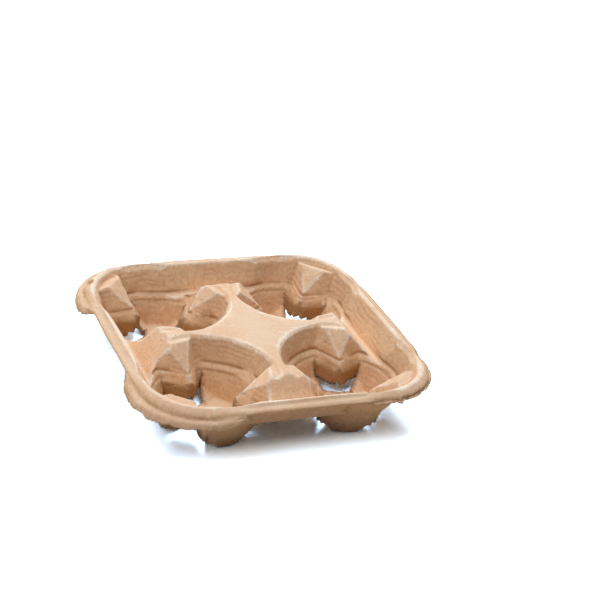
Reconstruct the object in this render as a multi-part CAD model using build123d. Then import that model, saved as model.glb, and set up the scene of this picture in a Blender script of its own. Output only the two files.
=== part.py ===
from build123d import *
from math import cos, radians, sin, sqrt, tan
import os

# Moulded pulp carrier for four drinks: one thin sheet of paper fibre, formed on a mould.
# Origin under the middle of the carrier, +Z up, feet on z = 0. All sizes in millimetres.
# The sheet is the mass under its top surface, less the same mass with each face moved in by the wall.

# Sheet
wall = 2.4

# Rim: a rounded crest, a sloping shoulder and a flared skirt outside it
rim_gap = 0.2
rim_top = 46.0
rim_corner = 37.0
crest_round = 2.4
shoulder_width = 8.1
shoulder_fall = 32.0
skirt_flare = 26.0
skirt_low_drop = 12.0
skirt_high_drop = 6.1
skirt_high_length = 78.0
skirt_wave_length = 14.0
skirt_wave_round = 9.0

# Tray: the sloping wall inside the rim and the gutter at its foot
tray_draft = 25.0
gutter_z = 23.5

# Deck: the raised star between the wells
deck_drop = 3.4
deck_half = 65.5
deck_fall = 45.0

# Wells
well_spacing = 102.0
well_radius = 47.2
well_draft = 18.5
leg_draft = 22.0
well_edge = 1.9
step_high_z = 25.7
step_low_z = 20.6
step_inset = 4.2

# Fingers: three wedges in each well that lean on the cup
finger_angles = (45.0, 165.0, 285.0)
crest_radius = 41.5
crest_width = 19.0
crest_drop = 4.0
shield_radius = 23.5
shield_z = 26.5
flank_fan = 47.0
groove_fall = 22.0
skirt_step = 1.2
skirt_slope = 75.0
skirt_drop = 0.5

# Floor: its bands slope up to the slots
band_radius = 4.6
band_slope = 40.0
band_fan = 52.0
band_z = 8.5

# Slots: an opening around each finger's tip, wide in front of it and narrow beside its flanks
slot_front = 10.5
slot_bend_radius = 17.0
slot_bend_side = 12.3
slot_end_radius = 32.4
slot_end_side = 16.9
slot_end_width = 1.9
slot_back = 19.9
slot_back_side = 1.6

# The rim goes round the wells, and the skirt, the deck and the fingers' crests hang below its top
rim_half = well_spacing / 2 + well_radius + rim_gap
skirt_low_z = rim_top - skirt_low_drop
skirt_high_z = rim_top - skirt_high_drop
deck_z = rim_top - deck_drop
crest_z = rim_top - crest_drop

# Room for the cutting bodies
depth_below = 12.0
reach = 400.0


def under_plane(point, normal, inset):
    """Everything behind a plane that is moved back by the inset."""
    direction = Vector(*normal).normalized()
    origin = Vector(*point) - direction * inset
    block = Box(reach, reach, reach, align=(Align.CENTER, Align.CENTER, Align.MAX))
    return Plane(origin=origin, z_dir=direction) * block


def half_width(z, foot_half, foot_z, lean, inset):
    """Half the width at a height of a square whose sides lean outwards going down."""
    angle = radians(lean)
    return foot_half + (foot_z - z) * tan(angle) - inset / cos(angle)


def square_frustum(half, z, height, lean):
    """A square with round corners, all offset from the rim's corner, that widens along its height."""
    profile = Plane.XY.offset(z) * RectangleRounded(2 * half, 2 * half, rim_corner + half - rim_half)
    return extrude(profile, amount=height, taper=-lean)


def tray_half(z, inset):
    """Half the width of the tray's hollow at a height."""
    return half_width(z, rim_half, rim_top, -tray_draft, -inset)


def skirt_half(z, inset):
    """Half the width over the skirt at a height."""
    shoulder_foot_z = rim_top - shoulder_width * tan(radians(shoulder_fall))
    return half_width(z, rim_half + shoulder_width, shoulder_foot_z, skirt_flare, inset)


def rim_block(inset):
    """The block under the rim, its shoulder and its skirt, with the hollow of the tray in it."""
    high = rim_top + wall
    shoulder_lean = 90.0 - shoulder_fall
    shoulder_half = half_width(high, rim_half, rim_top, shoulder_lean, inset)
    depth = high + depth_below + inset
    block = square_frustum(skirt_half(high, inset), high, -depth, skirt_flare)
    block &= square_frustum(shoulder_half, high, -depth, shoulder_lean)
    foot_z = gutter_z - inset
    block -= square_frustum(tray_half(foot_z, inset), foot_z, high + wall - foot_z, tray_draft)
    if inset == 0:
        crest = block.edges().group_by(Axis.Z)[-1]
        block = chamfer(crest, length=crest_round)
    return block


def deck_block(inset):
    """The raised middle: a flat top that falls to the gutter on all four sides."""
    slope = radians(deck_fall)
    top = deck_z - inset
    block = Box(reach, reach, top + depth_below, align=(Align.CENTER, Align.CENTER, Align.MAX))
    block = Pos(0, 0, top) * block
    for x, y in ((1, 0), (0, 1), (-1, 0), (0, -1)):
        point = (x * deck_half, y * deck_half, deck_z)
        normal = (x * sin(slope), y * sin(slope), cos(slope))
        block &= under_plane(point, normal, inset)
    return block


def well_hollow(inset):
    """The hollow for one cup: a stepped cone with a soft edge, turned about the well's own axis."""
    lean = radians(well_draft)
    slope = tan(lean)
    side = inset / cos(lean)
    high = rim_top + wall
    foot_radius = well_radius - (deck_z - step_high_z) * slope
    leg_radius = foot_radius - step_inset
    leg_side = inset / cos(radians(leg_draft))
    floor_z = wall - inset
    floor_radius = leg_radius - (step_low_z - floor_z) * tan(radians(leg_draft)) + leg_side
    outline = [(0, floor_z), (floor_radius, floor_z), (leg_radius + leg_side, step_low_z)]
    outline.append((foot_radius + side, step_high_z))
    if inset == 0:
        outline.append((well_radius - well_edge * sin(lean), deck_z - well_edge * cos(lean)))
        outline.append((well_radius + 1.2 * well_edge, deck_z + 0.2 * well_edge))
        outline.append((well_radius + 1.6 * well_edge, high))
    else:
        outline.append((well_radius + side + (high - deck_z) * slope, high))
    outline.append((0, high))
    profile = Plane.XZ * make_face(Polyline(*outline, close=True))
    return revolve(profile, axis=Axis.Z)


def wedge(inset, point, rise, fan, low, high):
    """A wedge that points at the well's axis, between two levels, with two flanks that fan out."""
    block = Box(reach, reach, high - low, align=(Align.CENTER, Align.CENTER, Align.MIN))
    block = Pos(0, 0, low - inset) * block
    fan = radians(fan)
    for side in (1, -1):
        normal = (-sin(fan) * rise, side * cos(fan) * rise, 1)
        block &= under_plane(point, normal, inset)
    return block


def finger(inset):
    """One finger along +X of its well, with the skirt under it and the floor band in front of it."""
    fan = radians(flank_fan)
    run = crest_radius - shield_radius
    rise = crest_z - shield_z
    flank_run = run * sin(fan) - crest_width / 2 * cos(fan)
    groove = radians(groove_fall)
    crest = (crest_radius, 0, crest_z)
    step_z = step_high_z - skirt_drop
    upper = wedge(inset, (shield_radius, 0, shield_z), rise / flank_run, flank_fan, step_z, crest_z)
    upper &= under_plane(crest, (-rise, 0, run), inset)
    upper &= under_plane(crest, (sin(groove), 0, cos(groove)), inset)
    skirt_radius = shield_radius - skirt_step - (shield_z - step_z) * flank_run / rise / sin(fan)
    skirt_tip = (skirt_radius, 0, step_z)
    skirt = wedge(inset, skirt_tip, tan(radians(skirt_slope)), flank_fan, -depth_below, step_z)
    band_tip = (band_radius, 0, wall)
    band = wedge(inset, band_tip, tan(radians(band_slope)), band_fan, -depth_below, band_z)
    return upper + skirt + band


def slot():
    """The opening around a finger's tip, open straight up and down."""
    half_end = slot_end_width / 2
    half = [
        (slot_bend_radius, slot_bend_side),
        (slot_end_radius - half_end, slot_end_side + half_end),
        (slot_end_radius + half_end, slot_end_side - half_end),
        (slot_back, slot_back_side),
    ]
    other = [(x, -y) for x, y in reversed(half)]
    shape = make_face(Polyline((slot_front, 0), *half, *other, close=True))
    return Pos(0, 0, -wall) * extrude(shape, amount=step_low_z + 2 * wall)


def in_wells(shape):
    """A shape made for the back right well, and its mirror images in the other three."""
    first = Pos(well_spacing / 2, well_spacing / 2, 0) * shape
    second = mirror(first, about=Plane.YZ)
    return [first, second, mirror(first, about=Plane.XZ), mirror(second, about=Plane.XZ)]


def form(inset):
    """The mass under the sheet's top surface, with every face moved in by the inset."""
    body = rim_block(inset) + deck_block(inset)
    shape = finger(inset)
    hollow = well_hollow(inset)
    for angle in finger_angles[1:]:
        hollow -= Rot(0, 0, angle) * shape
    for one in in_wells(hollow):
        body -= one
    corner_reach = sqrt(2) * (rim_half - rim_corner - well_spacing / 2) + rim_corner
    corner_finger = Rot(0, 0, finger_angles[0]) * (shape & Cylinder(corner_reach, reach))
    for one in in_wells(corner_finger):
        body += one
    return body


def skirt_trims():
    """What is cut off below the skirt: level at the corners, with a raised wave along each side."""
    split_half = (tray_half(skirt_high_z, wall) + skirt_half(skirt_high_z, wall)) / 2
    inner = square_frustum(split_half, -reach, 2 * reach, 0)
    low = Box(reach, reach, reach, align=(Align.CENTER, Align.CENTER, Align.MAX))
    trims = [Pos(0, 0, skirt_low_z) * low - inner]
    high_end = skirt_high_length / 2
    low_end = high_end + skirt_wave_length
    far_end = low_end + skirt_wave_length
    wave = FilletPolyline(
        (-far_end, skirt_low_z), (-low_end, skirt_low_z), (-high_end, skirt_high_z),
        (high_end, skirt_high_z), (low_end, skirt_low_z), (far_end, skirt_low_z),
        radius=skirt_wave_round,
    )
    below = Polyline((far_end, skirt_low_z), (0, skirt_low_z - rim_top), (-far_end, skirt_low_z))
    arch = extrude(Plane.XZ * make_face(wave + below), amount=reach / 2)
    for quarter in range(4):
        trims.append(Rot(0, 0, 90 * quarter) * arch - inner)
    return trims


carrier = form(0) - form(wall)
for trim in skirt_trims():
    carrier -= trim
for angle in finger_angles:
    for opening in in_wells(Rot(0, 0, angle) * slot()):
        carrier -= opening
carrier.label = "cup_carrier"

os.makedirs("parts", exist_ok=True)
export_step(carrier, "parts/cup_carrier.step")
print("solids", len(carrier.solids()), "faces", len(carrier.faces()))
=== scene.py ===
# A carrier for four drinks, moulded in one sheet of brown paper pulp, on a white table.
# The sheet is made from the packed model: remeshed, softened like pressed fibre, and roughened where it
# was torn.
# Lengths are in metres, in the packed model's own frame.

import math
import random

import bmesh
import bpy
from bpy.props import FloatProperty, FloatVectorProperty, IntProperty, PointerProperty
from mathutils import Matrix, Vector, noise
from mathutils.bvhtree import BVHTree


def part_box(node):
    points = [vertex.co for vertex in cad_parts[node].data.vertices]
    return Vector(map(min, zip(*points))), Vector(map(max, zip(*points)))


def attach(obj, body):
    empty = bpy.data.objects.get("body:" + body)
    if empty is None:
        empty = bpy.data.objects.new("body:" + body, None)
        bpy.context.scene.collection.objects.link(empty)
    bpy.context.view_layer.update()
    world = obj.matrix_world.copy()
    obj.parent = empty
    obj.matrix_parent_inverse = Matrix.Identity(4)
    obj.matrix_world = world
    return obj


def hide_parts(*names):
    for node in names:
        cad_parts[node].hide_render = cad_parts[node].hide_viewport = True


bl_info = {
    "name": "Moulded Pulp Cup Carrier",
    "version": (1, 0, 0),
    "blender": (4, 5, 0),
    "location": "View3D > Sidebar > Carrier",
    "description": "Dresses a moulded pulp carrier for four cups and lights it on a white table",
    "category": "Object",
}

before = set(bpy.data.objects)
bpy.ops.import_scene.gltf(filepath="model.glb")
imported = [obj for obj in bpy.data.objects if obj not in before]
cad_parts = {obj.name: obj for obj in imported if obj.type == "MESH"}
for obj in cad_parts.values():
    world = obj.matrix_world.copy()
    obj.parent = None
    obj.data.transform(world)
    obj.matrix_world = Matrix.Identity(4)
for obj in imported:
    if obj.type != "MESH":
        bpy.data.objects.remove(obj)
LOW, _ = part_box("cup_carrier")
MM = 0.001

# The rim: half the width over its crest, the crest's corner, and the skirt's lower edge, which is raised
# along the middle of each side
CREST_HALF = 98.4 * MM
CORNER = 37 * MM
CORNER_MIDDLE = CREST_HALF - CORNER
SKIRT_LOW, SKIRT_RISE = 34 * MM, 5.9 * MM
WAVE_HIGH_END, WAVE_LOW_END = 39 * MM, 53 * MM

# The back right well's middle, how far its walls reach, and the directions of its three fingers
WELL = 51 * MM
WELL_REACH = 46 * MM
FINGERS = (45, 165, 285)

# Half the outline of a slot, along its finger and across it, in millimetres, with the sides that are a
# leg's edge and a finger's edge, and the level below which all slots lie
SLOT = ((10.5, 0), (17.0, 12.3), (31.45, 17.85), (33.35, 15.95), (19.9, 1.6), (19.9, 0))
LEG_SIDE, FINGER_SIDE = 1, 3
TORN_TOP = 22.5 * MM

# How pale the tray's wall and the skirt may be drawn, as wear and painted highlight, and the shares from
# which an edge is torn and frayed
TRAY_WEAR_AND_HIGHLIGHT, SKIRT_WEAR_AND_HIGHLIGHT = 0.12, 0.2
TORN_FROM, FRAYED_FROM = 0.2, 0.6
BEND_PASSES = 6
MERGE = 0.002 * MM

# Colours of the lamps, of the room, and of the table, as it lights the carrier and as the camera sees it
WARM_LIGHT, WHITE_LIGHT = (1.0, 0.98, 0.95), (1.0, 1.0, 1.0)
ROOM_LIGHT = (0.93, 0.96, 1.0)
TABLE_LIT, TABLE_SEEN = (0.80, 0.81, 0.83), (2.15, 3.15, 4.3)

# Width of the picture in pixels, and of the camera's sensor in millimetres
PICTURE = 600
SENSOR = 36.0


def length(name, description, default):
    """A property for a length of the carrier, in metres."""
    return FloatProperty(name=name, description=description, default=default, unit="LENGTH", precision=5)


def tint(name, description, default):
    """A property for a colour, as red, green and blue in linear light."""
    return FloatVectorProperty(name=name, description=description, default=default, subtype="COLOR", size=3)


def share(name, description, default):
    """A property for a share between nothing and all."""
    return FloatProperty(name=name, description=description, default=default, subtype="FACTOR", min=0, max=1)


def number(name, description, default):
    """A property for a plain number."""
    return FloatProperty(name=name, description=description, default=default)


def count(name, description, default):
    """A property for a whole number."""
    return IntProperty(name=name, description=description, default=default)


def power(name, description, default):
    """A property for a lamp's strength, in watts."""
    return FloatProperty(name=name, description=description, default=default, unit="POWER")


def angle(name, description, degrees):
    """A property for an angle, given in degrees."""
    return FloatProperty(name=name, description=description, default=math.radians(degrees), subtype="ANGLE")


def place(name, description, millimetres):
    """A property for a point on the carrier, given in millimetres."""
    spot = tuple(value * MM for value in millimetres)
    return FloatVectorProperty(
        name=name, description=description, default=spot, subtype="TRANSLATION", precision=5
    )


class SheetSettings(bpy.types.PropertyGroup):
    """How the pressed sheet departs from the clean model."""

    cell: length("Cell", "Size of the remeshed sheet's first faces", 0.85 * MM)
    faces: count("Faces", "Most triangles that are left of them", 190000)
    passes: count("Passes", "How often the pressed edges are softened", 3)
    wall: length("Wall", "Thickness of the sheet", 2.4 * MM)
    warp: length("Warp", "How far the whole sheet wanders while it dries", 0.6 * MM)
    warp_span: length("Warp span", "Distance between one swell of the sheet and the next", 55 * MM)
    lump: length("Lump", "Height of the lumps in the sheet", 0.42 * MM)
    lump_span: length("Lump span", "Distance between lumps", 9 * MM)
    ragged: length("Ragged", "How far the torn edges wander", 0.45 * MM)
    ragged_span: length("Ragged span", "Distance between nicks in a torn edge", 5.5 * MM)
    regain: length("Regain", "How far the torn edges reach out again after the softening", 1.2 * MM)
    leg_reach: length("Leg reach", "How far the legs' edges reach out over the slots", 3.2 * MM)
    finger_reach: length("Finger reach", "How far the fingers' edges reach out and down", 1.4 * MM)
    front_reach: number("Front reach", "Reach of the edges in the front wells, against the back ones", 0.55)
    step_high: length("Step high", "Height of the upper ring line in the wells", 25.6 * MM)
    step_low: length("Step low", "Height of the lower ring line in the wells", 20.9 * MM)
    step_groove: length("Step groove", "Depth of the ring lines", 0.55 * MM)
    lip: length("Lip", "How far the skirt rolls out above its lower edge", 1.1 * MM)
    valley: length("Valley", "Depth of the valley round the rim's shoulder", 0.9 * MM)
    skirt_wander: length("Skirt wander", "How far the skirt's lower edge rises and falls", 1.5 * MM)
    skirt_span: length("Skirt span", "Distance between the waves of the skirt's lower edge", 11 * MM)
    rays: count("Rays", "Looks around from each vertex, to find how open it lies", 14)
    seed: count("Seed", "Picks another pattern of lumps and nicks", 7)


class MarkSettings(bpy.types.PropertyGroup):
    """Where this one carrier is torn, bent or crumpled."""

    notch: place("Notch", "A tear in the rim's shoulder", (-99.0, 81.8, 42.4))
    notch_size: length("Notch size", "Reach of the tear", 4.6 * MM)
    nub: place("Nub", "Foot of a small upright fold in the skirt", (67.2, -107.0, 39.0))
    nub_size: length("Nub size", "Half the width of the fold", 2.0 * MM)
    crumple: place("Crumple", "Middle of a rough patch under one finger", (-16.5, 48.8, 23.5))
    crumple_size: length("Crumple size", "Reach of the rough patch", 10 * MM)
    seam: place("Seam", "A faint upright crease in the back wall", (0.1, 94.6, 36.0))
    short_corner: length("Short corner", "What the skirt lacks at the front right corner", 4.0 * MM)
    tucked_corner: length("Tucked corner", "How far the skirt is pushed in at that corner", 2.8 * MM)
    flared_side: length("Flared side", "How far the skirt is bent out along the left side", 2.4 * MM)


class FringeSettings(bpy.types.PropertyGroup):
    """The loose fibres along the torn edges."""

    tufts: count("Tufts", "Number of fibre tufts", 450)
    reach: length("Reach", "Length of a long tuft", 1.3 * MM)
    width: length("Width", "Width of a tuft at its root", 0.45 * MM)
    seed: count("Seed", "Picks other places for the tufts", 11)


class PulpSettings(bpy.types.PropertyGroup):
    """The colours and the surface of the pulp."""

    # Pale is painted light: open pulp that faces up is drawn paler, where the light falls from above.
    pale: tint("Pale", "Pulp that lies open and was rubbed smooth", (0.79, 0.605, 0.45))
    warm: tint("Warm", "Pulp on the walls", (0.87, 0.615, 0.40))
    # Deep is painted shade: the colour of pulp that sees little of the sky, in hollows and underneath.
    deep: tint("Deep", "Pulp in hollows and underneath", (0.73, 0.415, 0.20))
    # Dark is the specks' own colour, and also the painted shade in creases and ring grooves.
    dark: tint("Dark", "Darker specks of fibre", (0.44, 0.24, 0.12))
    fleck: tint("Fleck", "Specks of bark and ink", (0.12, 0.07, 0.045))
    blotch: tint("Blotch", "Large warmer blotches", (0.74, 0.46, 0.29))
    # Worn edges and painted highlight: pale on bent-out edges, and a painted highlight line along the rim's
    # crest.
    worn_and_highlit: tint("Worn", "Rubbed edges", (0.93, 0.81, 0.68))
    torn: tint("Torn", "Broken fibre at the torn edges", (0.42, 0.225, 0.10))
    worn_and_highlit_share: share("Worn share", "How much of the rubbed edges' colour shows", 0.95)
    # Painted shade: the sheet is drawn darker in its creases.
    crease_shade_share: share("Crease share", "How much darker the sheet is in its creases", 0.5)
    blotch_share: share("Blotch share", "How much of the blotches' colour shows", 0.5)
    wall_speck_share: share("Wall speck share", "How much of the specks' colour shows on the walls", 0.32)
    top_speck_share: share("Top speck share", "How much of it shows where the sheet faces up", 0.16)
    # Painted shade in the ring grooves of the wells.
    ring_shade_share: share("Line share", "How dark the ring lines in the wells are", 0.95)
    torn_share: share("Torn share", "How much of the broken fibre's colour shows", 0.85)
    fleck_share: share("Fleck share", "How much of the flecks' colour shows", 0.8)
    torn_coarse: number("Torn coarseness", "How much higher the fibres stand at the torn edges", 4.0)
    fibre_depth: length("Fibre depth", "Height of the fibres in the surface", 0.12 * MM)
    line_depth: length("Line depth", "Height of the forming lines on the walls", 0.09 * MM)


class StageSettings(bpy.types.PropertyGroup):
    """The table, the lights and the camera."""

    azimuth: angle("Azimuth", "Direction the camera looks from, round the carrier", -26.09)
    elevation: angle("Elevation", "Height of the camera above the horizon", 27.79)
    roll: angle("Roll", "How far the camera is tipped to one side", 8.43)
    distance: length("Distance", "From the camera to the point it looks at", 1252.6 * MM)
    aim: place("Aim", "Point the camera looks at", (67.75, 70.97, 20.0))
    focal: number("Focal length", "Lens, in pixels of the picture", 1628.9)
    table: length("Table", "Width of the white table", 8.0)
    shadow_near: length("Shadow near", "From the middle to where the table starts to glow white", 75 * MM)
    shadow_far: length("Shadow far", "From the middle to where it glows white in full", 115 * MM)
    lamp_size: length("Lamp size", "Width of each lamp", 0.9)
    back: power("Back", "Strength of the lamp behind", 16.5)
    top: power("Top", "Strength of the lamp overhead", 11.5)
    front: power("Front", "Strength of the lamp in front", 6.8)
    side: power("Side", "Strength of the low lamp on the left", 2.0)
    sky: number("Sky", "Strength of the light from all around", 0.035)


def mesh_of(bm, name):
    """A new object with the bmesh's mesh, at the origin."""
    mesh = bpy.data.meshes.new(name)
    bm.to_mesh(mesh)
    bm.free()
    piece = bpy.data.objects.new(name, mesh)
    bpy.context.scene.collection.objects.link(piece)
    return piece


def settle(piece, material):
    """Gives a finished piece its material and its body."""
    piece.data.materials.clear()
    piece.data.materials.append(material)
    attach(piece, "root")
    return piece


def blend_in(low, high, value):
    """A soft step from 0 at low to 1 at high."""
    share = min(max((value - low) / (high - low), 0.0), 1.0)
    return share * share * (3.0 - 2.0 * share)


def fade_out(low, high, value):
    """A soft step from 1 at low to 0 at high."""
    return 1.0 - blend_in(low, high, value)


def new_nodes(tree, **kinds):
    """New nodes in a tree, by a short name each."""
    return {name: tree.nodes.new(kind) for name, kind in kinds.items()}


def wire(tree, *pairs):
    """Joins each output to the input beside it."""
    for source, target in pairs:
        tree.links.new(source, target)


def group_tree(name, inputs, outputs):
    """A shader node group with named inputs and outputs, and its two end nodes."""
    tree = bpy.data.node_groups.new(name, "ShaderNodeTree")
    for label, kind, value in inputs:
        socket = tree.interface.new_socket(name=label, in_out="INPUT", socket_type="NodeSocket" + kind)
        if value is not None:
            socket.default_value = value
    for label, kind in outputs:
        tree.interface.new_socket(name=label, in_out="OUTPUT", socket_type="NodeSocket" + kind)
    return tree, tree.nodes.new("NodeGroupInput"), tree.nodes.new("NodeGroupOutput")


def math_node(tree, operation, first, second=None, third=None, clamp=False):
    """A Math node fed by sockets or plain numbers. Gives its output."""
    node = tree.nodes.new("ShaderNodeMath")
    node.operation = operation
    node.use_clamp = clamp
    for socket, value in zip(node.inputs, (first, second, third)):
        if value is None:
            continue
        if isinstance(value, (int, float)):
            socket.default_value = value
        else:
            tree.links.new(value, socket)
    return node.outputs[0]


def noise_node(tree, vector, scale, detail=2.0, roughness=0.5, distortion=0.0):
    """A Noise Texture fed by a vector. Gives its value."""
    node = tree.nodes.new("ShaderNodeTexNoise")
    node.inputs["Scale"].default_value = scale
    node.inputs["Detail"].default_value = detail
    node.inputs["Roughness"].default_value = roughness
    node.inputs["Distortion"].default_value = distortion
    tree.links.new(vector, node.inputs["Vector"])
    return node.outputs["Fac"]


def window(tree, value, low, high, first=0.0, last=1.0):
    """A Map Range node with a smooth step. Gives its output."""
    node = tree.nodes.new("ShaderNodeMapRange")
    node.interpolation_type = "SMOOTHSTEP"
    for socket, number in zip(("From Min", "From Max", "To Min", "To Max"), (low, high, first, last)):
        node.inputs[socket].default_value = number
    tree.links.new(value, node.inputs["Value"])
    return node.outputs["Result"]


def fibre_group():
    """Pressed paper fibre: its height, its blotches and its dark flecks, over a vector in millimetres."""
    tree, start, end = group_tree(
        "Pulp Fibre",
        [("Vector", "Vector", None), ("Fleck Share", "Float", 0.5)],
        [("Height", "Float"), ("Blotch", "Float"), ("Speckle", "Float"), ("Fleck", "Float")],
    )
    vector = start.outputs["Vector"]
    felt = noise_node(tree, vector, 0.55, detail=6.0, roughness=0.68, distortion=1.2)
    strands = tree.nodes.new("ShaderNodeTexVoronoi")
    strands.feature = "DISTANCE_TO_EDGE"
    strands.inputs["Scale"].default_value = 0.5
    warped = tree.nodes.new("ShaderNodeVectorMath")
    warped.operation = "MULTIPLY_ADD"
    shaken = tree.nodes.new("ShaderNodeTexNoise")
    shaken.inputs["Scale"].default_value = 0.9
    shaken.inputs["Detail"].default_value = 3.0
    warped.inputs[1].default_value = (1.6, 1.6, 1.6)
    wire(
        tree,
        (vector, shaken.inputs["Vector"]),
        (shaken.outputs["Color"], warped.inputs[0]),
        (vector, warped.inputs[2]),
        (warped.outputs["Vector"], strands.inputs["Vector"]),
    )
    strand_height = window(tree, strands.outputs["Distance"], 0.0, 0.25, 1.0, 0.0)
    height = math_node(tree, "MULTIPLY_ADD", strand_height, 0.35, felt)
    blotch = noise_node(tree, vector, 0.035, detail=5.0, roughness=0.62)
    speckle = noise_node(tree, vector, 0.42, detail=4.0, roughness=0.75)
    specks = tree.nodes.new("ShaderNodeTexVoronoi")
    specks.inputs["Scale"].default_value = 0.16
    tree.links.new(vector, specks.inputs["Vector"])
    small = window(tree, specks.outputs["Distance"], 0.05, 0.085, 1.0, 0.0)
    parts = tree.nodes.new("ShaderNodeSeparateColor")
    tree.links.new(specks.outputs["Color"], parts.inputs["Color"])
    chosen = math_node(tree, "LESS_THAN", parts.outputs[0], start.outputs["Fleck Share"])
    fleck = math_node(tree, "MULTIPLY", small, chosen)
    wire(
        tree,
        (height, end.inputs["Height"]),
        (window(tree, blotch, 0.38, 0.62), end.inputs["Blotch"]),
        (window(tree, speckle, 0.38, 0.62), end.inputs["Speckle"]),
        (fleck, end.inputs["Fleck"]),
    )
    return tree


def forming_group():
    """The level lines that the mould leaves on the walls, over a vector in millimetres."""
    tree, start, end = group_tree(
        "Forming Lines",
        [("Vector", "Vector", None)],
        [("Height", "Float")],
    )
    vector = start.outputs["Vector"]
    axes = tree.nodes.new("ShaderNodeSeparateXYZ")
    tree.links.new(vector, axes.inputs["Vector"])
    sway = noise_node(tree, vector, 0.05, detail=3.0)
    level = math_node(tree, "MULTIPLY_ADD", sway, 9.0, axes.outputs["Z"])
    ridges = math_node(tree, "SINE", math_node(tree, "MULTIPLY", level, 1.7))
    strength = window(tree, noise_node(tree, vector, 0.07, detail=3.0), 0.42, 0.66)
    height = math_node(tree, "MULTIPLY", ridges, strength)
    wire(tree, (height, end.inputs["Height"]))
    return tree


def mixed(tree, first, second, factor, mode="MIX"):
    """A colour mixed from two colours or sockets. Gives its output."""
    node = tree.nodes.new("ShaderNodeMix")
    node.data_type = "RGBA"
    node.blend_type = mode
    for socket, value in ((node.inputs[6], first), (node.inputs[7], second)):
        if isinstance(value, bpy.types.NodeSocket):
            tree.links.new(value, socket)
        else:
            socket.default_value = (*value, 1.0)
    if isinstance(factor, bpy.types.NodeSocket):
        tree.links.new(factor, node.inputs["Factor"])
    else:
        node.inputs["Factor"].default_value = factor
    return node.outputs[2]


def pulp_material(settings):
    """Brown paper pulp: painted light where it faces up and lies open, warm on the walls, painted shade in
    hollows, creases, ring lines and underneath, pale on worn edges with a painted highlight along the rim's
    crest, with fibres, flecks and torn edges.
    """
    material = bpy.data.materials.new("pressed_fibre")
    material.use_nodes = True
    tree = material.node_tree
    tree.nodes.clear()
    shader = tree.nodes.new("ShaderNodeBsdfPrincipled")
    out = tree.nodes.new("ShaderNodeOutputMaterial")
    shader.inputs["Specular IOR Level"].default_value = 0.18
    shader.inputs["IOR"].default_value = 1.45
    coordinates = tree.nodes.new("ShaderNodeTexCoord")
    millimetres = tree.nodes.new("ShaderNodeMapping")
    millimetres.inputs["Scale"].default_value = (1 / MM, 1 / MM, 1 / MM)
    torn = tree.nodes.new("ShaderNodeAttribute")
    torn.attribute_name = "torn"
    openness = tree.nodes.new("ShaderNodeAttribute")
    openness.attribute_name = "open"
    slope = tree.nodes.new("ShaderNodeNewGeometry")
    up = tree.nodes.new("ShaderNodeSeparateXYZ")
    fibre = tree.nodes.new("ShaderNodeGroup")
    fibre.node_tree = bpy.data.node_groups.get("Pulp Fibre") or fibre_group()
    forming = tree.nodes.new("ShaderNodeGroup")
    forming.node_tree = bpy.data.node_groups.get("Forming Lines") or forming_group()
    wire(
        tree,
        (coordinates.outputs["Object"], millimetres.inputs["Vector"]),
        (millimetres.outputs["Vector"], fibre.inputs["Vector"]),
        (millimetres.outputs["Vector"], forming.inputs["Vector"]),
        (slope.outputs["Normal"], up.inputs["Vector"]),
    )
    edge = tree.nodes.new("ShaderNodeAttribute")
    edge.attribute_name = "edge"
    facing_up = window(tree, up.outputs["Z"], 0.55, 1.0)
    steep = window(tree, math_node(tree, "ABSOLUTE", up.outputs["Z"]), 0.5, 0.8, 1.0, 0.0)
    line = tree.nodes.new("ShaderNodeAttribute")
    line.attribute_name = "line"
    # Painted shade: pulp that sees little of the sky is drawn in the Deep colour.
    lit = window(tree, openness.outputs["Fac"], 0.12, 0.62)
    colour = mixed(tree, settings.deep, settings.warm, lit)
    # Painted light: open pulp that faces up is drawn Pale.
    colour = mixed(tree, colour, settings.pale, math_node(tree, "MULTIPLY", facing_up, lit))
    # Wear and painted highlight: bent-out edges and the rim's crest are drawn pale.
    rubbed = window(tree, edge.outputs["Fac"], 0.11, 0.42, 0.0, settings.worn_and_highlit_share)
    colour = mixed(tree, colour, settings.worn_and_highlit, rubbed)
    # Painted shade in the creases, in the Dark colour.
    crease_shade = window(tree, edge.outputs["Fac"], -0.4, -0.06, settings.crease_shade_share, 0.0)
    colour = mixed(tree, colour, settings.dark, crease_shade)
    blotched = math_node(tree, "MULTIPLY", fibre.outputs["Blotch"], settings.blotch_share)
    colour = mixed(tree, colour, settings.blotch, blotched)
    grain = window(tree, facing_up, 0.0, 1.0, settings.wall_speck_share, settings.top_speck_share)
    speckled = math_node(tree, "MULTIPLY", fibre.outputs["Speckle"], grain)
    colour = mixed(tree, colour, settings.dark, speckled)
    # Painted shade in the ring grooves; then the broken fibre's own colour at torn edges, and the flecks.
    for mask, over, amount in (
        (line.outputs["Fac"], settings.dark, settings.ring_shade_share),
        (torn.outputs["Fac"], settings.torn, settings.torn_share),
        (fibre.outputs["Fleck"], settings.fleck, settings.fleck_share),
    ):
        colour = mixed(tree, colour, over, math_node(tree, "MULTIPLY", mask, amount))
    rough = window(tree, fibre.outputs["Height"], 0.3, 1.0, 0.84, 0.97)
    deep = math_node(tree, "MULTIPLY", forming.outputs["Height"], steep)
    coarse = math_node(tree, "MULTIPLY_ADD", torn.outputs["Fac"], settings.torn_coarse, 1.0)
    coarse = math_node(tree, "MULTIPLY", coarse, fibre.outputs["Height"])
    lines = tree.nodes.new("ShaderNodeBump")
    lines.inputs["Distance"].default_value = settings.line_depth
    felt = tree.nodes.new("ShaderNodeBump")
    felt.inputs["Distance"].default_value = settings.fibre_depth
    wire(
        tree,
        (deep, lines.inputs["Height"]),
        (lines.outputs["Normal"], felt.inputs["Normal"]),
        (coarse, felt.inputs["Height"]),
        (felt.outputs["Normal"], shader.inputs["Normal"]),
        (colour, shader.inputs["Base Color"]),
        (rough, shader.inputs["Roughness"]),
        (shader.outputs["BSDF"], out.inputs["Surface"]),
    )
    return material


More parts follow.
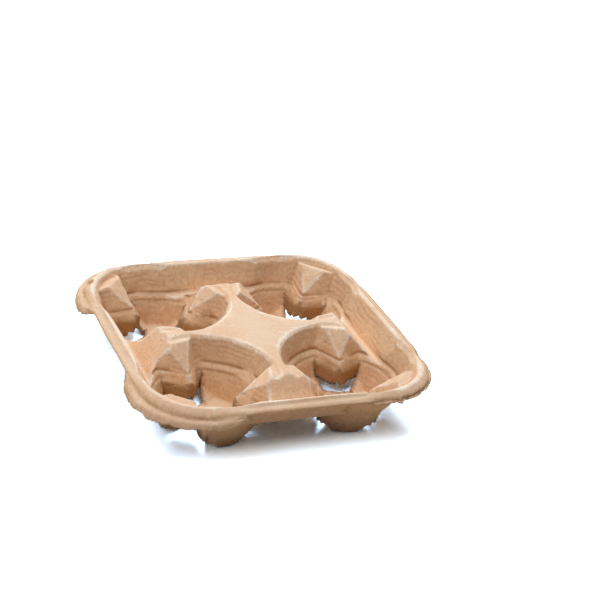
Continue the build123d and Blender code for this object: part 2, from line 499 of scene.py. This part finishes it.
def carrier_pulp():
    """The pulp material, made once."""
    return bpy.data.materials.get("pressed_fibre") or pulp_material(bpy.context.scene.carrier_pulp)


def remeshed(mesh, cell, faces):
    """An even mesh of small triangles over a closed mesh, thinned to at most the given number."""
    rough = bpy.data.objects.new("rough_sheet", mesh)
    bpy.context.scene.collection.objects.link(rough)
    grid = rough.modifiers.new("grid", "REMESH")
    grid.mode = "VOXEL"
    grid.voxel_size = cell
    grid.adaptivity = 0.0
    shown = rough.evaluated_get(bpy.context.evaluated_depsgraph_get())
    triangles = 2 * len(shown.data.polygons)
    thin = rough.modifiers.new("thin", "DECIMATE")
    thin.ratio = min(1.0, faces / triangles)
    shown = rough.evaluated_get(bpy.context.evaluated_depsgraph_get())
    fine = bpy.data.meshes.new_from_object(shown)
    bpy.data.objects.remove(rough)
    return fine


def soften(bm, verts, passes):
    """Rounds the edges among some of the vertices, a little more with each pass."""
    for _ in range(passes):
        bmesh.ops.smooth_vert(bm, verts=verts, factor=0.5, use_axis_x=True, use_axis_y=True, use_axis_z=True)
    bm.normal_update()


def edge_shares(bm, passes):
    """For each vertex, how sharply the sheet bends there: more than 0 on an edge, less in a crease."""
    places = [vert.co.copy() for vert in bm.verts]
    near = [[edge.other_vert(vert).index for edge in vert.link_edges] for vert in bm.verts]
    soft = places
    for _ in range(passes):
        soft = [sum((soft[index] for index in ring), Vector()) / len(ring) for ring in near]
    bends = []
    for vert, spot, mean in zip(bm.verts, places, soft):
        cell = sum(edge.calc_length() for edge in vert.link_edges) / len(vert.link_edges)
        bends.append((spot - mean).dot(vert.normal) / cell ** 2 * MM)
    return bends


def slot_gap(spot):
    """How far a point lies from the outline of the nearest slot, seen from above."""
    return min(nearest_side(spot, degrees)[0] for degrees in FINGERS)


def nearest_side(spot, degrees):
    """How far a point lies from one finger's slot, which side is nearest, and how far along that side."""
    along, across = finger_place(spot, degrees)
    point = Vector((along, abs(across)))
    sides = []
    for index, (start, end) in enumerate(zip(SLOT, SLOT[1:])):
        start, end = Vector(start) * MM, Vector(end) * MM
        run = end - start
        share_along = min(max((point - start).dot(run) / run.length_squared, 0.0), 1.0)
        sides.append(((point - start - run * share_along).length, index, share_along))
    return min(sides)


def finger_place(spot, degrees):
    """A point as seen from its well's axis: how far it lies along one finger, and across it."""
    x, y, turn = abs(spot.x) - WELL, abs(spot.y) - WELL, math.radians(degrees)
    return x * math.cos(turn) + y * math.sin(turn), y * math.cos(turn) - x * math.sin(turn)


def growth(spot, settings):
    """How the edges of the legs and of the fingers reach out over the slot between them."""
    near_edge, far_from_edge = 0.6 * MM, 3 * MM
    total = Vector((0.0, 0.0, 0.0))
    for degrees in FINGERS:
        gap, side, share_along = nearest_side(spot, degrees)
        if side not in (LEG_SIDE, FINGER_SIDE) or gap > far_from_edge:
            continue
        turn = math.radians(degrees)
        across = math.copysign(1.0, finger_place(spot, degrees)[1])
        run = (Vector(SLOT[side + 1]) - Vector(SLOT[side])).normalized()
        over = Vector((run.y, -run.x * across))
        x = over.x * math.cos(turn) - over.y * math.sin(turn)
        y = over.x * math.sin(turn) + over.y * math.cos(turn)
        move = Vector((math.copysign(1.0, spot.x) * x, math.copysign(1.0, spot.y) * y, 0.0))
        near = fade_out(near_edge, far_from_edge, gap)
        if side == LEG_SIDE:
            total += move * settings.leg_reach * near * (1.0 - 0.8 * share_along)
        else:
            sinking = Vector((0.0, 0.0, -1.0)) * fade_out(11 * MM, 18 * MM, spot.z)
            total += (move + sinking) * settings.finger_reach * near
    return total * (settings.front_reach if spot.y < 0.0 else 1.0)


def wear_and_highlight(spot, bend):
    """How pale an edge is drawn, as wear and painted highlight: a painted highlight line all along the rim's
    crest, the tray's wall hardly at all.
    """
    beyond = outside(spot)
    if 24 * MM < spot.z and -14 * MM < beyond < -2.5 * MM:
        return min(bend, TRAY_WEAR_AND_HIGHLIGHT)
    if beyond > 3.4 * MM:
        return min(bend, SKIRT_WEAR_AND_HIGHLIGHT)
    # Painted highlight: a pale line all along the rim's crest.
    crest = fade_out(0.8 * MM, 3.2 * MM, abs(beyond)) * blend_in(41.5 * MM, 43.6 * MM, spot.z)
    return max(bend, crest * (0.40 + 0.2 * noise.noise(spot / (12 * MM))))


def torn_shares(bm, wall):
    """For each vertex, how far it lies on the sheet's cut edge: round a slot, or at the skirt's edge."""
    tree = BVHTree.FromBMesh(bm)
    shares = []
    for vert in bm.verts:
        if vert.co.z < TORN_TOP:
            shares.append(fade_out(0.4 * MM, 1.0 * MM, slot_gap(vert.co)))
            continue
        if outside(vert.co) < 6 * MM:
            shares.append(0.0)
            continue
        hit = tree.ray_cast(vert.co - vert.normal * wall * 0.1, -vert.normal, wall * 4)
        deep = hit[3] if hit[3] is not None else wall * 4
        shares.append(0.4 * blend_in(1.35 * wall, 2.2 * wall, deep))
    return shares


def rumple(bm, settings, shares, lines):
    """Moves the sheet's vertices: a slow warp, small lumps, and nicks along the torn edges."""
    shift = Vector((settings.seed, settings.seed * 1.7, settings.seed * 0.6))
    for vert, torn, line in zip(bm.verts, shares, lines):
        spot = vert.co.copy()
        swell = noise.noise_vector(spot / settings.warp_span + shift) * settings.warp
        swell.z *= blend_in(LOW.z, LOW.z + 12 * MM, spot.z)
        lump = noise.fractal(spot / settings.lump_span + shift, 0.9, 2.1, 4) * settings.lump
        nick = noise.noise_vector(spot / settings.ragged_span - shift) * settings.ragged * torn
        nick += noise.noise_vector(spot / settings.ragged_span * 2.3 + shift) * settings.ragged * 0.5 * torn
        if spot.z < TORN_TOP:
            nick += growth(spot, settings)
        reach = settings.regain * torn - settings.step_groove * line
        vert.co = spot + swell + vert.normal * (lump + reach) + nick


def unfolded(value, side):
    """A value as it is in the back right well, from its mirror image on the given side of the middle."""
    return math.copysign(value, value * side)


def ring_line(settings, spot, normal):
    """How far a point lies in one of the ring lines on the walls and the fingers of the wells."""
    inwards = Vector((WELL - abs(spot.x), WELL - abs(spot.y), 0.0))
    facing = unfolded(normal.x, spot.x) * inwards.x + unfolded(normal.y, spot.y) * inwards.y
    if abs(normal.z) > 0.85 or facing < 0.0 or not 14 * MM < inwards.length < WELL_REACH:
        return 0.0
    level = spot.z + noise.noise(spot / (30 * MM)) * 1.2 * MM
    deep = 0.0
    for height, share_deep in ((settings.step_high, 1.0), (settings.step_low, 0.8)):
        deep = max(deep, share_deep * fade_out(0.2 * MM, 1.3 * MM, abs(level - height)))
    return deep * blend_in(-0.4, 0.05, noise.noise(spot / (14 * MM)))


def past_corner(spot):
    """How far a point lies past the middle of the nearest corner's arc, along X and along Y."""
    return max(abs(spot.x) - CORNER_MIDDLE, 0.0), max(abs(spot.y) - CORNER_MIDDLE, 0.0)


def outside(spot):
    """How far a point lies outside the rim's crest, seen from above."""
    return math.hypot(*past_corner(spot)) - CORNER


def roll_lip(bm, settings):
    """Presses a shallow valley round the rim's shoulder, and rolls the skirt out into a lip below it."""
    for vert in bm.verts:
        spot = vert.co
        beyond = outside(spot)
        if beyond < 2.0 * MM or spot.z < SKIRT_LOW - 4 * MM:
            continue
        raised = fade_out(WAVE_HIGH_END, WAVE_LOW_END, min(abs(spot.x), abs(spot.y)))
        above = spot.z - SKIRT_LOW - raised * SKIRT_RISE
        ridge_at = (2.9 - 1.3 * raised) * MM
        valley_at = (5.9 - 1.8 * raised) * MM
        ridge = fade_out(0.2 * MM, 2.6 * MM, abs(above - ridge_at))
        valley = fade_out(0.2 * MM, 2.6 * MM, abs(above - valley_at)) * blend_in(1.4 * MM, 3.8 * MM, beyond)
        x, y = past_corner(spot)
        level = Vector((math.copysign(x, spot.x), math.copysign(y, spot.y), 0.0)).normalized()
        outwards = level + Vector((0.0, 0.0, 0.8))
        vert.co = spot + outwards * (settings.lip * ridge - settings.valley * valley)


def bend_skirt(bm, settings, marks):
    """Makes the skirt's edge uneven, short and tucked in at one corner and bent out along one side."""
    for vert in bm.verts:
        spot = vert.co
        low = fade_out(33 * MM, 41 * MM, spot.z)
        if low <= 0.0 or outside(spot) < 1.0 * MM:
            continue
        around = Vector((spot.x, spot.y, 0.0)) / settings.skirt_span
        wander = noise.noise(around) + 0.5 * noise.noise(around * 2.7)
        from_middle = math.hypot(spot.x, spot.y)
        front_right = blend_in(0.80, 0.99, (spot.x - spot.y) / from_middle / math.sqrt(2))
        rise = wander * settings.skirt_wander + front_right * marks.short_corner
        leftwards = blend_in(0.3, 0.9, -spot.x / from_middle)
        rise -= leftwards * marks.flared_side * 0.5
        tuck = marks.tucked_corner * front_right - marks.flared_side * leftwards + rise * 0.5
        inwards = Vector((-spot.x, -spot.y, 0.0)).normalized() * tuck
        vert.co = spot + (inwards + Vector((0.0, 0.0, rise))) * low


def mark(bm, marks):
    """Tears, folds and crumples the sheet where this one carrier is damaged. Gives each vertex's damage."""
    notch, nub, crumple, seam = map(Vector, (marks.notch, marks.nub, marks.crumple, marks.seam))
    tear_pull = Vector((0.75, -0.35, -0.4)) * marks.notch_size * 0.8
    fold_pull = Vector((0.2 * MM, -1.7 * MM, -1.0 * MM))
    fold_end = 5 * MM
    crease_pull = Vector((0.0, 0.3 * MM, 0.0))
    crease_width, crease_end = 1.6 * MM, 8 * MM
    crumb = 2.6 * MM
    stains = []
    for vert in bm.verts:
        spot = vert.co.copy()
        tear = fade_out(0.3 * marks.notch_size, marks.notch_size, (spot - notch).length)
        rough = fade_out(0.4 * marks.crumple_size, marks.crumple_size, (spot - crumple).length)
        fold = fade_out(0.0, marks.nub_size, abs(spot.x - nub.x))
        if spot.y > nub.y + fold_end or spot.z > nub.z + fold_end:
            fold = 0.0
        crease = fade_out(0.0, crease_width, abs(spot.x - seam.x))
        if spot.y < seam.y - crease_end or spot.z > seam.z + crease_end:
            crease = 0.0
        crumpled = vert.normal * noise.fractal(spot / crumb, 0.8, 2.2, 3) * MM * rough
        vert.co = spot + (tear_pull * tear + crumpled + fold_pull * fold + crease_pull * crease)
        stains.append(max(tear, 0.5 * rough))
    return stains


def openness(bm, rays, seed):
    """For each vertex, the share of the sky above the table that it sees, cut by up to half beyond the rim's
    crest. The material paints shade from it.
    """
    tree = BVHTree.FromBMesh(bm)
    chance = random.Random(seed)
    shares = []
    for vert in bm.verts:
        tangent = vert.normal.orthogonal().normalized()
        other = vert.normal.cross(tangent)
        turn = chance.random()
        root = vert.co + vert.normal * 0.3 * MM
        seen = 0
        for step in range(rays):
            height = (step + 0.5) / rays
            ring = math.sqrt(height)
            angle_round = 2 * math.pi * (turn + step * 0.618034)
            ray = tangent * (ring * math.cos(angle_round)) + other * (ring * math.sin(angle_round))
            ray += vert.normal * math.sqrt(1.0 - height)
            if ray.z > 0.0 and tree.ray_cast(root, ray)[0] is None:
                seen += 1
        shares.append(seen / rays)
    evened = []
    for vert, share in zip(bm.verts, shares):
        # Painted shade: beyond the crest the skirt counts as seeing up to half less sky.
        beyond_crest = blend_in(0.5 * MM, 3.5 * MM, outside(vert.co))
        evened.append((share + spread(vert, shares)) / 2 * (1.0 - 0.5 * beyond_crest))
    return evened


def spread(vert, values):
    """The mean of a value over a vertex's neighbours."""
    near = [values[edge.other_vert(vert).index] for edge in vert.link_edges]
    return sum(near) / len(near)


class CARRIER_OT_sheet(bpy.types.Operator):
    """Makes the pressed sheet from the packed model"""

    bl_idname = "carrier.sheet"
    bl_label = "Pressed sheet"

    def execute(self, context):
        settings = context.scene.carrier_sheet
        noise.seed_set(settings.seed)
        bm = bmesh.new()
        bm.from_mesh(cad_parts["cup_carrier"].data)
        bmesh.ops.remove_doubles(bm, verts=bm.verts, dist=MERGE)
        clean = bpy.data.meshes.new("clean_sheet")
        bm.to_mesh(clean)
        bm.free()
        fine = remeshed(clean, settings.cell, settings.faces)
        bm = bmesh.new()
        bm.from_mesh(fine)
        soften(bm, bm.verts, 1)
        bm.verts.index_update()
        shares = torn_shares(bm, settings.wall)
        soften(bm, [vert for vert, torn in zip(bm.verts, shares) if torn < TORN_FROM], settings.passes - 1)
        lines = [ring_line(settings, vert.co, vert.normal) for vert in bm.verts]
        rumple(bm, settings, shares, lines)
        roll_lip(bm, settings)
        bend_skirt(bm, settings, context.scene.carrier_marks)
        bm.normal_update()
        stains = mark(bm, context.scene.carrier_marks)
        for vert in bm.verts:
            vert.co.z = max(vert.co.z, LOW.z)
        bm.normal_update()
        sky = openness(bm, settings.rays, settings.seed)
        edges = [wear_and_highlight(vert.co, bend) for vert, bend in zip(bm.verts, edge_shares(bm, BEND_PASSES))]
        shares = [max(torn, stain) for torn, stain in zip(shares, stains)]
        layers = [bm.verts.layers.float.new(name) for name in ("torn", "open", "edge", "line")]
        for vert, *values in zip(bm.verts, shares, sky, edges, lines):
            for layer, value in zip(layers, values):
                vert[layer] = value
        for face in bm.faces:
            face.smooth = True
        sheet = mesh_of(bm, "pulp_sheet")
        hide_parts("cup_carrier")
        settle(sheet, carrier_pulp())
        return {"FINISHED"}


class CARRIER_OT_fringe(bpy.types.Operator):
    """Sets small tufts of loose fibre along the torn edges"""

    bl_idname = "carrier.fringe"
    bl_label = "Torn fringe"

    def execute(self, context):
        settings = context.scene.carrier_fringe
        chance = random.Random(settings.seed)
        sheet = bpy.data.objects["pulp_sheet"].data
        damage = sheet.attributes["torn"].data
        torn = [vert.index for vert in sheet.vertices if damage[vert.index].value > FRAYED_FROM]
        bm = bmesh.new()
        torn_layer = bm.verts.layers.float.new("torn")
        open_layer = bm.verts.layers.float.new("open")
        for index in chance.sample(torn, min(settings.tufts, len(torn))):
            vert = sheet.vertices[index]
            sky = sheet.attributes["open"].data[index].value
            for point in self.tuft(bm, chance, settings, vert.co, vert.normal):
                point[torn_layer] = 1.0
                point[open_layer] = sky
        fringe = mesh_of(bm, "torn_fringe")
        settle(fringe, carrier_pulp())
        return {"FINISHED"}

    def tuft(self, bm, chance, settings, root, normal):
        """One tapering tuft that leans away from the edge at a chance angle."""
        sideways = Vector((chance.uniform(-1, 1), chance.uniform(-1, 1), chance.uniform(-0.6, 0.3)))
        lean = (normal + sideways * 0.8).normalized()
        reach = settings.reach * chance.uniform(0.3, 1.0)
        width = settings.width * chance.uniform(0.4, 1.0)
        made = bmesh.ops.create_cone(
            bm, cap_ends=True, segments=4, radius1=width / 2, radius2=width * 0.12, depth=reach
        )
        turn = lean.to_track_quat("Z", "Y").to_matrix().to_4x4()
        rooted = Matrix.Translation(root + lean * reach * 0.35) @ turn
        bmesh.ops.transform(bm, matrix=rooted, verts=made["verts"])
        for vert in made["verts"]:
            vert.co.z = max(vert.co.z, LOW.z)
        return made["verts"]


class CARRIER_OT_stage(bpy.types.Operator):
    """Lays the white table, hangs the lamps and sets up the camera"""

    bl_idname = "carrier.stage"
    bl_label = "Table, lamps and camera"

    def execute(self, context):
        settings = context.scene.carrier_stage
        self.lay_table(settings)
        self.light_world(context, settings)
        self.hang_lamps(settings)
        self.place_camera(context, settings)
        context.scene.view_settings.view_transform = "Standard"
        return {"FINISHED"}

    def lay_table(self, settings):
        """A wide white table that keeps the carrier's shadow."""
        bm = bmesh.new()
        bmesh.ops.create_grid(bm, x_segments=1, y_segments=1, size=settings.table / 2)
        bmesh.ops.translate(bm, verts=bm.verts, vec=(0, 0, LOW.z - 0.1 * MM))
        table = mesh_of(bm, "white_table")
        material = bpy.data.materials.new("white_table")
        material.use_nodes = True
        tree = material.node_tree
        tree.nodes.clear()
        parts = new_nodes(
            tree,
            out="ShaderNodeOutputMaterial",
            surface="ShaderNodeBsdfDiffuse",
            glow="ShaderNodeEmission",
            both="ShaderNodeAddShader",
            path="ShaderNodeLightPath",
            place="ShaderNodeTexCoord",
            away="ShaderNodeVectorMath",
            axes="ShaderNodeSeparateXYZ",
        )
        parts["away"].operation = "ABSOLUTE"
        camera_ray = parts["path"].outputs["Is Camera Ray"]
        wire(
            tree,
            (parts["place"].outputs["Object"], parts["away"].inputs[0]),
            (parts["away"].outputs["Vector"], parts["axes"].inputs["Vector"]),
        )
        away = math_node(tree, "MAXIMUM", parts["axes"].outputs["X"], parts["axes"].outputs["Y"])
        far = window(tree, away, settings.shadow_near, settings.shadow_far)
        wire(
            tree,
            (mixed(tree, TABLE_LIT, TABLE_SEEN, camera_ray), parts["surface"].inputs["Color"]),
            (math_node(tree, "MULTIPLY", camera_ray, far), parts["glow"].inputs["Strength"]),
            (parts["surface"].outputs[0], parts["both"].inputs[0]),
            (parts["glow"].outputs[0], parts["both"].inputs[1]),
            (parts["both"].outputs[0], parts["out"].inputs["Surface"]),
        )
        table.data.materials.append(material)

    def light_world(self, context, settings):
        """Even pale light from all around, seen as plain white by the camera."""
        world = bpy.data.worlds.new("pale_room")
        world.use_nodes = True
        tree = world.node_tree
        tree.nodes.clear()
        parts = new_nodes(
            tree,
            out="ShaderNodeOutputWorld",
            light="ShaderNodeBackground",
            white="ShaderNodeBackground",
            pick="ShaderNodeMixShader",
            path="ShaderNodeLightPath",
        )
        parts["light"].inputs["Color"].default_value = (*ROOM_LIGHT, 1.0)
        parts["light"].inputs["Strength"].default_value = settings.sky
        wire(
            tree,
            (parts["path"].outputs["Is Camera Ray"], parts["pick"].inputs["Fac"]),
            (parts["light"].outputs[0], parts["pick"].inputs[1]),
            (parts["white"].outputs[0], parts["pick"].inputs[2]),
            (parts["pick"].outputs[0], parts["out"].inputs["Surface"]),
        )
        parts["white"].inputs["Color"].default_value = (1, 1, 1, 1)
        context.scene.world = world

    def hang_lamps(self, settings):
        """Four soft lamps: behind, overhead, in front on the left, and low on the left."""
        places = (
            ("back_lamp", settings.back, (0.45, 0.92, 1.23), WARM_LIGHT),
            ("top_lamp", settings.top, (0.0, 0.0, 1.6), WHITE_LIGHT),
            ("front_lamp", settings.front, (-0.97, -0.33, 1.23), WHITE_LIGHT),
            ("side_lamp", settings.side, (-1.30, 0.64, 0.68), WHITE_LIGHT),
        )
        for name, watts, spot, colour in places:
            data = bpy.data.lights.new(name, "AREA")
            data.energy = watts
            data.size = settings.lamp_size
            data.color = colour
            lamp = bpy.data.objects.new(name, data)
            bpy.context.scene.collection.objects.link(lamp)
            lamp.location = spot
            towards = Vector((0, 0, 0.02)) - Vector(spot)
            lamp.rotation_euler = towards.to_track_quat("-Z", "Y").to_euler()

    def place_camera(self, context, settings):
        """The camera, from its direction round the carrier, its height, its roll and its distance."""
        turn, rise, roll = settings.azimuth, settings.elevation, settings.roll
        back = Vector((math.sin(turn) * math.cos(rise), -math.cos(turn) * math.cos(rise), math.sin(rise)))
        level = Vector((math.cos(turn), math.sin(turn), 0))
        upright = back.cross(level)
        right = level * math.cos(roll) + upright * math.sin(roll)
        top = upright * math.cos(roll) - level * math.sin(roll)
        data = bpy.data.cameras.new("camera")
        data.sensor_width = SENSOR
        data.lens = settings.focal / PICTURE * SENSOR
        data.clip_start = 0.05
        camera = bpy.data.objects.new("camera", data)
        context.scene.collection.objects.link(camera)
        spot = Matrix((right, top, back)).transposed().to_4x4()
        spot.translation = Vector(settings.aim) + back * settings.distance
        camera.matrix_world = spot
        context.scene.camera = camera


class CARRIER_PT_panel(bpy.types.Panel):
    """The carrier's pieces and settings"""

    bl_idname = "CARRIER_PT_panel"
    bl_label = "Pulp cup carrier"
    bl_space_type = "VIEW_3D"
    bl_region_type = "UI"
    bl_category = "Carrier"

    def draw(self, context):
        for operator in OPERATORS:
            self.layout.operator(operator.bl_idname)
        for name, group in SETTINGS:
            box = self.layout.box()
            box.label(text=group.__doc__)
            for key in group.__annotations__:
                box.prop(getattr(context.scene, name), key)


OPERATORS = (CARRIER_OT_sheet, CARRIER_OT_fringe, CARRIER_OT_stage)
SETTINGS = (
    ("carrier_sheet", SheetSettings),
    ("carrier_marks", MarkSettings),
    ("carrier_fringe", FringeSettings),
    ("carrier_pulp", PulpSettings),
    ("carrier_stage", StageSettings),
)


def register():
    """Adds the classes, and their settings to the scene."""
    for name, group in SETTINGS:
        bpy.utils.register_class(group)
        setattr(bpy.types.Scene, name, PointerProperty(type=group))
    for operator in OPERATORS:
        bpy.utils.register_class(operator)
    bpy.utils.register_class(CARRIER_PT_panel)


def unregister():
    """Takes the classes and the settings away again."""
    bpy.utils.unregister_class(CARRIER_PT_panel)
    for operator in reversed(OPERATORS):
        bpy.utils.unregister_class(operator)
    for name, group in reversed(SETTINGS):
        delattr(bpy.types.Scene, name)
        bpy.utils.unregister_class(group)


def main():
    """Makes the carrier and its stage."""
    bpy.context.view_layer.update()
    register()
    bpy.ops.carrier.sheet()
    bpy.ops.carrier.fringe()
    bpy.ops.carrier.stage()


if __name__ == "__main__":
    main()
